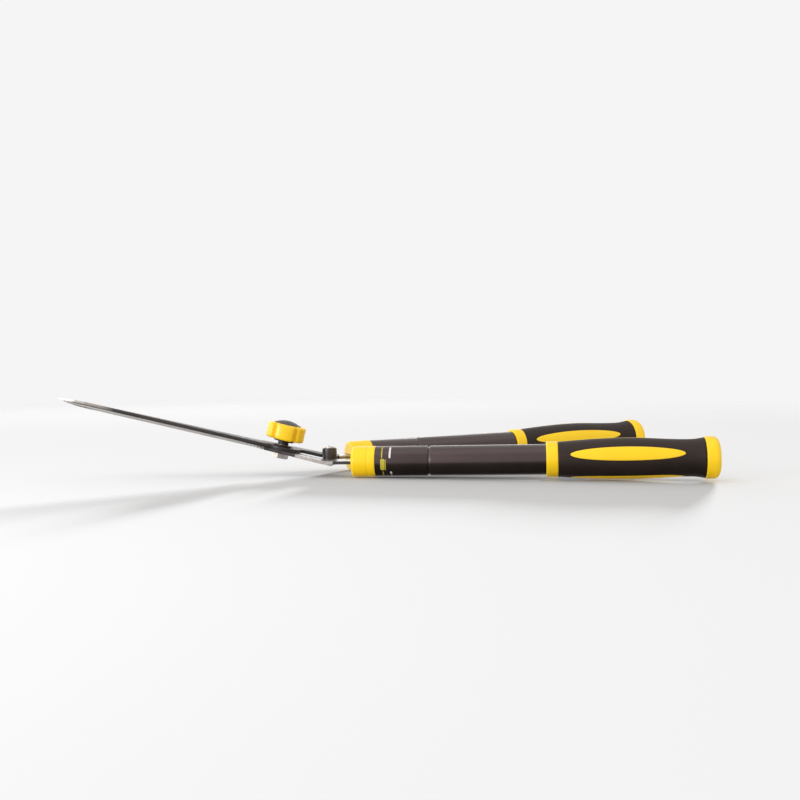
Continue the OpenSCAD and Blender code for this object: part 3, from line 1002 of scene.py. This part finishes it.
# ---- Rubber stop -------------------------------------------------------------------------------
# A black rubber cylinder on the lower tang's ear takes the blow as the blades close. A button
# screw with a flat washer goes down through it into a flange nut under the tang.
stop_middle = middle_place @ (Vector((stop_centre.x, stop_centre.y, 0)) * mm)
stop_place = placed(stop_middle, mid_axis, handle_up)
rubber_low, rubber_high = extent("bumper", stop_place)
screw_low, screw_high = extent("bumper_screw", stop_place)
nut_low, nut_high = extent("bumper_nut", stop_place)
disc_low, disc_high = extent("bumper_washer", stop_place)
screw_radius = 2.5
button_radius = 4.0
socket_flats = 3.0
nut_flats = 8
nut_turn = 12
flange_radius = 6.0

rubber_material = moulded("stop_rubber", (0.013, 0.010, 0.009), (0.022, 0.018, 0.016), rough=0.30,
                          texture=2800.0, depth=0.00002, coat=0.3,
                          wear_colour=(0.06, 0.055, 0.05), specular=0.6)
rubber_stop = turned("rubber_stop",
                     rounded([(rubber_low.z, screw_radius + 0.1),
                              (rubber_low.z, rubber_high.x - 0.15, 0.7),
                              ((rubber_low.z + rubber_high.z) / 2, rubber_high.x),
                              (rubber_high.z, rubber_high.x - 0.15, 0.8),
                              (rubber_high.z, screw_radius + 0.1)], steps=6),
                     stop_place, rubber_material)
stop_washer = turned("stop_washer",
                     rounded([(disc_low.z, screw_radius + 0.05), (disc_low.z, disc_high.x, 0.12),
                              (disc_high.z, disc_high.x, 0.2),
                              (disc_high.z, screw_radius + 0.05)]),
                     stop_place, washer_material)
button_edge = disc_high.z + 0.25
button = [(screw_high.z, 0.0)]
button += [(button_edge + (screw_high.z - button_edge) * math.cos(math.radians(a)),
            button_radius * math.sin(math.radians(a))) for a in range(12, 91, 13)]
stop_screw = turned("stop_screw",
                    button + [(disc_high.z, button_radius - 0.05), (disc_high.z, screw_radius),
                              (screw_low.z + 0.5, screw_radius),
                              (screw_low.z, screw_radius - 0.5), (screw_low.z, 0)],
                    stop_place, zinc_material)
socket_mesh = bpy.data.meshes.new("socket")
bm = bmesh.new()
socket_radius = socket_flats / 2 / math.cos(math.pi / 6) * mm
bmesh.ops.create_cone(bm, cap_ends=True, segments=6, depth=3 * mm,
                      radius1=socket_radius, radius2=socket_radius)
bmesh.ops.translate(bm, verts=bm.verts, vec=(0, 0, (screw_high.z + 0.4) * mm))
bm.to_mesh(socket_mesh)
bm.free()
cut(stop_screw, socket_mesh)
flange_from = nut_high.z - 1.4
stop_nut = hex_piece("stop_nut", nut_flats, nut_low.z, flange_from, nut_turn, stop_place,
                     zinc_material,
                     [(flange_from, 4.2), (nut_high.z - 0.9, flange_radius - 0.2),
                      (nut_high.z - 0.6, flange_radius), (nut_high.z, flange_radius)])
for piece, finish, node_name in ((rubber_stop, "stop_rubber", "bumper"),
                                 (stop_washer, "washer_steel", "bumper_washer"),
                                 (stop_screw, "zinc_steel", "bumper_screw"),
                                 (stop_nut, "zinc_steel", "bumper_nut")):
    fix(piece, "lower_half", finish, node_name)


# ---- Collars -------------------------------------------------------------------------------------
# The nose of each handle is a yellow moulded collar with a rounded front and a slot that lets the
# flat bar of the tang through. A narrow yellow ring, moulded apart, closes the gap to the tube.
collar_round = 3.2
collar_bore = 12.6
collar_wall = 3
seam_round = 0.4
seam_gap = 0.02
tang_slot = (12, 17, 4)
slot_round = 0.8

yellow_material = moulded("yellow_plastic", (0.97, 0.64, 0.006), (0.95, 0.59, 0.004), rough=0.34,
                          texture=1300.0, depth=0.00003, coat=0.15,
                          wear_colour=(0.98, 0.86, 0.30), specular=0.4)


def handle_place(half, axis):
    """A handle's own frame: X runs from the front of its collar to its end."""
    end = Vector(mounts[half + "_cap_end"]["pos_m"])
    length = -extent(half + "_collar", placed(end, axis, handle_up))[0].x
    return placed(end - axis * length * mm, axis, handle_up)


handles = (("lower", -1, handle_place("lower", lower_axis)),
           ("upper", 1, handle_place("upper", upper_axis)))


def make_collar(half, place):
    """The collar: a turned cup, open at the back, with the slot for the tang cut in its nose."""
    low, high = extent(half + "_collar", place)
    collar = turned(half + "_collar_shell",
                    rounded([(low.x, 0), (low.x, high.y, collar_round),
                             (high.x - seam_gap, high.y, seam_round),
                             (high.x - seam_gap, collar_bore),
                             (collar_wall, collar_bore), (collar_wall, 0)], steps=8),
                    place, yellow_material, axis="X", steps=128)
    slot_mesh = bpy.data.meshes.new("slot")
    bm = bmesh.new()
    bmesh.ops.create_cube(bm, size=1.0)
    bmesh.ops.scale(bm, verts=bm.verts, vec=[size * mm for size in tang_slot])
    bmesh.ops.bevel(bm, geom=[e for e in bm.edges
                              if abs(e.verts[0].co.x - e.verts[1].co.x) > mm],
                    offset=slot_round * mm, segments=4, affect="EDGES")
    bm.to_mesh(slot_mesh)
    bm.free()
    cut(collar, slot_mesh)
    return collar


def make_collar_ring(half, place):
    radius = extent(half + "_collar", place)[1].y
    low, high = extent(half + "_collar_ring", place)
    return turned(half + "_collar_band",
                  rounded([(low.x + seam_gap, collar_bore),
                           (low.x + seam_gap, radius, seam_round),
                           (high.x, radius, 0.45), (high.x, collar_bore)]),
                  place, yellow_material, axis="X", steps=128)


for half, side, place in handles:
    fix(make_collar(half, place), half + "_half", "yellow_plastic", half + "_collar")
    fix(make_collar_ring(half, place), half + "_half", "yellow_plastic", half + "_collar_ring")


# ---- Tubes ---------------------------------------------------------------------------------------
# A drawn steel tube, painted satin black. A groove rolled into it grips the plug that holds the
# tang. Plain marks in yellow and white are printed on it behind the collar.
tube_wall = 1.2
groove_at = 71.6
groove_reach = 4
groove_inside = 2.15
groove_line = ((-1.3, 0.0), (-1.15, 0.1), (-1.05, 1.1), (-0.9, 1.2), (-0.35, 1.2), (-0.1, 1.0),
               (0.5, 0.68), (1.4, 0.18), (1.7, 0.05), (2.0, 0.0))
print_thickness = 0.035
print_depth = 0.3


def tube_paint():
    """Satin black powder paint on the tube: fine orange peel, warm tone, rubbed on edges."""
    material, tree, shader, place = new_material("tube_paint")
    spots = use(tree, surface_noise, {"Place": place, "Patch scale": 30.0,
                                      "Speckle scale": 1100.0})
    wear = use(tree, edge_wear, {"Place": place, "Radius": 0.0004, "Amount": 0.40,
                                 "Breakup": 600.0})["Wear"]
    colour = blended(tree, spots["Patches"], (0.011, 0.0080, 0.0072), (0.016, 0.012, 0.011))
    colour = blended(tree, scaled(tree, wear, 0.5), colour, (0.25, 0.23, 0.22))
    tree.links.new(colour, shader.inputs["Base Color"])
    tree.links.new(ranged(tree, spots["Patches"], 0, 1, 0.30, 0.36), shader.inputs["Roughness"])
    shader.inputs["Specular IOR Level"].default_value = 0.75
    shader.inputs["Specular Tint"].default_value = (1.0, 0.72, 0.72, 1)
    shader.inputs["Coat Weight"].default_value = 0.45
    shader.inputs["Coat Roughness"].default_value = 0.07
    bumped(tree, shader, spots["Speckle"], 0.00002)
    return material


tube_material = tube_paint()
white_print = moulded("white_print", (0.72, 0.71, 0.70), (0.62, 0.61, 0.60), rough=0.5,
                      texture=2500.0, depth=0.00001)
yellow_print = moulded("yellow_print", (0.50, 0.42, 0.03), (0.42, 0.34, 0.02), rough=0.5,
                       texture=2500.0, depth=0.00001)

# Each mark: name, from and to along the tube, from and to round it in degrees, and its ink.
marks = (("stripe_top", 28.6, 29.6, 18, 100, yellow_print),
         ("emblem", 27.8, 31.8, -28, 16, yellow_print),
         ("emblem_edge", 32.3, 32.9, -30, 14, yellow_print),
         ("stripe_low", 29.6, 30.5, -80, -34, yellow_print),
         ("line_one", 35.6, 37.3, 18, 74, white_print),
         ("line_two", 36.4, 38.2, -48, -34, white_print),
         ("line_three", 36.8, 38.0, -72, -54, white_print))


def make_tube(half, place):
    """The tube, with its rolled groove outside and the ridge that the groove makes inside."""
    low, high = extent(half + "_tube", place)
    front, back, radius = low.x, high.x, high.y
    bore_radius = radius - tube_wall
    outside = [(front + 0.01, radius - 0.25), (front + 0.16, radius)]
    outside += [(groove_at + along, radius - depth) for along, depth in groove_line]
    outside += [(groove_at + (back - groove_at) * k / 6, radius) for k in range(1, 7)]
    inside = [(back, bore_radius), (groove_at + groove_reach, bore_radius),
              (groove_at, radius - groove_inside),
              (groove_at - groove_reach, bore_radius), (front + 0.01, bore_radius)]
    return turned(half + "_black_tube", outside + inside, place, tube_material,
                  axis="X", steps=128, angle=38)


def print_patch(name, place, from_s, to_s, from_angle, to_angle, radius, material, side):
    """A thin printed mark on the tube with round corners. Angles go up from level on the
    handle's outer side, in degrees."""
    columns = 8
    rows = max(3, int(abs(to_angle - from_angle) / 4))
    half_s = (to_s - from_s) / 2
    half_arc = math.radians(to_angle - from_angle) / 2 * radius
    corner = min(half_s, half_arc) * 0.5
    points, faces = [], []
    for layer in (radius - print_depth, radius + print_thickness):
        for row in range(rows + 1):
            v = -half_arc + 2 * half_arc * row / rows
            over = max(0.0, abs(v) - (half_arc - corner))
            pull = corner - math.sqrt(max(0.0, corner ** 2 - over ** 2))
            for column in range(columns + 1):
                u = (half_s - pull) * (2 * column / columns - 1)
                a = math.radians((from_angle + to_angle) / 2) + v / radius
                points.append(((from_s + to_s) / 2 + u, side * layer * math.cos(a),
                               layer * math.sin(a)))
    sheet_size = (rows + 1) * (columns + 1)
    for layer in (0, 1):
        for row in range(rows):
            for column in range(columns):
                i = layer * sheet_size + row * (columns + 1) + column
                faces.append((i, i + 1, i + columns + 2, i + columns + 1))
    outline = list(range(columns + 1))
    outline += [r * (columns + 1) + columns for r in range(1, rows + 1)]
    outline += [rows * (columns + 1) + c for c in range(columns - 1, -1, -1)]
    outline += [r * (columns + 1) for r in range(rows - 1, 0, -1)]
    for one, two in zip(outline, outline[1:] + outline[:1]):
        faces.append((one, two, two + sheet_size, one + sheet_size))
    return make_piece(name, points, faces, place, [material], angle=50)


for half, side, place in handles:
    fix(make_tube(half, place), half + "_half", "black_tube", half + "_tube")
    tube_radius = extent(half + "_tube", place)[1].y
    for label, from_s, to_s, from_angle, to_angle, ink in marks:
        mark = print_patch(half + "_print_" + label, place, from_s, to_s, from_angle, to_angle,
                           tube_radius, ink, side)
        fix(mark, half + "_half", "black_tube")


# ---- Grips ---------------------------------------------------------------------------------------
# A soft black rubber grip is moulded over a hard yellow sleeve pushed onto the tube. The sleeve
# shows as the ring in front of the rubber and as four ovals through windows in it.
ring_bore = 14
grip_bore = 15
grip_front = 15.9
grip_belly = 18.75
grip_neck = 16.7
grip_flare = 18.3
neck_at = 304
oval_angles = (21, 117, 201, 291)
oval_half_width = 6.35
oval_gap = 0.6
oval_proud = 0.2
oval_root = -1.2

grip_material = moulded("grip_rubber", (0.018, 0.0125, 0.0100), (0.025, 0.0185, 0.0150),
                        rough=0.46, texture=2300.0, depth=0.00008,
                        wear_colour=(0.060, 0.048, 0.040), specular=0.30, tint=(1.0, 0.82, 0.78))


def grip_radius(s, front, middle, end):
    """Radius of the soft grip: front swells to the belly, falls to the neck, flares out."""
    if s < middle:
        swell = math.sin(math.pi / 2 * (s - front) / (middle - front))
        return grip_front + (grip_belly - grip_front) * swell
    if s < neck_at:
        fall = (1 - math.cos(math.pi * (s - middle) / (neck_at - middle))) / 2
        return grip_belly - (grip_belly - grip_neck) * fall
    return grip_neck + (grip_flare - grip_neck) * ((s - neck_at) / (end - neck_at)) ** 2


def make_grip_ring(half, place):
    low, high = extent(half + "_grip_ring", place)
    return turned(half + "_grip_band",
                  rounded([(low.x, ring_bore), (low.x, high.y, 1.0), (high.x, high.y, 0.8),
                           (high.x, ring_bore)], steps=6),
                  place, yellow_material, axis="X", steps=128)


def make_grip(half, place, front, back, radius_at):
    line = [(front, grip_bore), (front, radius_at(front) - 0.5),
            (front + 0.15, radius_at(front) - 0.15)]
    count = 60
    line += [(s, radius_at(s)) for s in
             (front + 0.5 + (back - front - 0.9) * k / count for k in range(count + 1))]
    line += [(back - 0.1, radius_at(back) - 0.3), (back, grip_bore)]
    return turned(half + "_soft_grip", line, place, grip_material, axis="X", steps=144,
                  angle=60)


def oval_inlay(name, place, angle, middle, half_length, radius_at):
    """A domed oval with a soft edge that wraps round the grip."""
    rings = 12
    steps = 72
    soft_from = 0.70
    radius = radius_at(middle) + oval_proud
    points = [(middle, -radius * math.cos(math.radians(angle)),
               radius * math.sin(math.radians(angle)))]
    for k in range(1, rings + 2):
        share = min(k / rings, 1.0)
        lift = oval_proud * (1 - max(0.0, share - soft_from) ** 2 / (1 - soft_from) ** 2 * 0.9)
        lift = lift if k <= rings else oval_root
        spread = 1 - (1 - share) ** 1.4 if share < 1 else 1.0
        for i in range(steps):
            a = 2 * math.pi * i / steps
            s = middle + half_length * spread * math.cos(a)
            w = oval_half_width * spread * math.sin(a)
            radius = radius_at(s) + lift
            turn = math.radians(angle) + math.asin(w / radius)
            points.append((s, -radius * math.cos(turn), radius * math.sin(turn)))
    faces = [(0, 1 + i, 1 + (i + 1) % steps) for i in range(steps)]
    for k in range(rings):
        for i in range(steps):
            a, b = 1 + k * steps + i, 1 + k * steps + (i + 1) % steps
            faces.append((a, a + steps, b + steps, b))
    faces.append(tuple(range(1 + rings * steps, 1 + (rings + 1) * steps)))
    return make_piece(name, points, faces, place, [yellow_material], angle=40)


for half, side, place in handles:
    fix(make_grip_ring(half, place), half + "_half", "yellow_plastic", half + "_grip_ring")
    grip_low, grip_high = extent(half + "_grip", place)
    oval_low, oval_high = extent(half + "_grip_inlays", place)
    oval_middle = (oval_low.x + oval_high.x) / 2

    def radius_at(s):
        return grip_radius(s, grip_low.x, oval_middle, grip_high.x)

    fix(make_grip(half, place, grip_low.x, grip_high.x, radius_at),
        half + "_half", "grip_rubber", half + "_grip")
    for i, angle in enumerate(oval_angles):
        oval = oval_inlay(f"{half}_grip_oval_{i + 1}", place, angle, oval_middle,
                          (oval_high.x - oval_low.x) / 2 - oval_gap, radius_at)
        shown = [half + "_grip_inlays"] if i == 0 else []
        fix(oval, half + "_half", "yellow_plastic", *shown)


# ---- End caps ------------------------------------------------------------------------------------
# A yellow moulded cap is pushed into the back of each grip and closes the handle. It has a large
# soft corner and a shallow round dish in its end face.
cap_spigot = 12.7
cap_corner = 5.5
dish_radius = 9.2
dish_floor = 8.6
dish_depth = 0.5


def make_end_cap(half, place):
    low, high = extent(half + "_end_cap", place)
    rim = extent(half + "_grip", place)[1].x + seam_gap
    return turned(half + "_cap",
                  rounded([(low.x, 0), (low.x, 12.1), (low.x + 1, cap_spigot), (rim, cap_spigot),
                           (rim, high.y, 0.8), (high.x, high.y, cap_corner),
                           (high.x, dish_radius, 0.3), (high.x - dish_depth, dish_floor, 0.3),
                           (high.x - dish_depth, 0)], steps=10),
                  place, yellow_material, axis="X", steps=128)


for half, side, place in handles:
    fix(make_end_cap(half, place), half + "_half", "yellow_plastic", half + "_end_cap")


# ---- Plugs and sleeves ---------------------------------------------------------------------------
# Inside each handle a nylon plug holds the bar of the tang, and the yellow sleeve carries the
# grip. Neither is seen from outside, so the CAD parts stay and only take their materials.
plug_material = moulded("plug_nylon", (0.05, 0.05, 0.052), (0.07, 0.07, 0.072), rough=0.5,
                        texture=1700.0, depth=0.00004)

for half, side, place in handles:
    for inner, material in (("_tang_plug", plug_material), ("_grip_core", yellow_material)):
        cad = frame["nodes"][half + inner]
        cad.data.materials.clear()
        cad.data.materials.append(material)
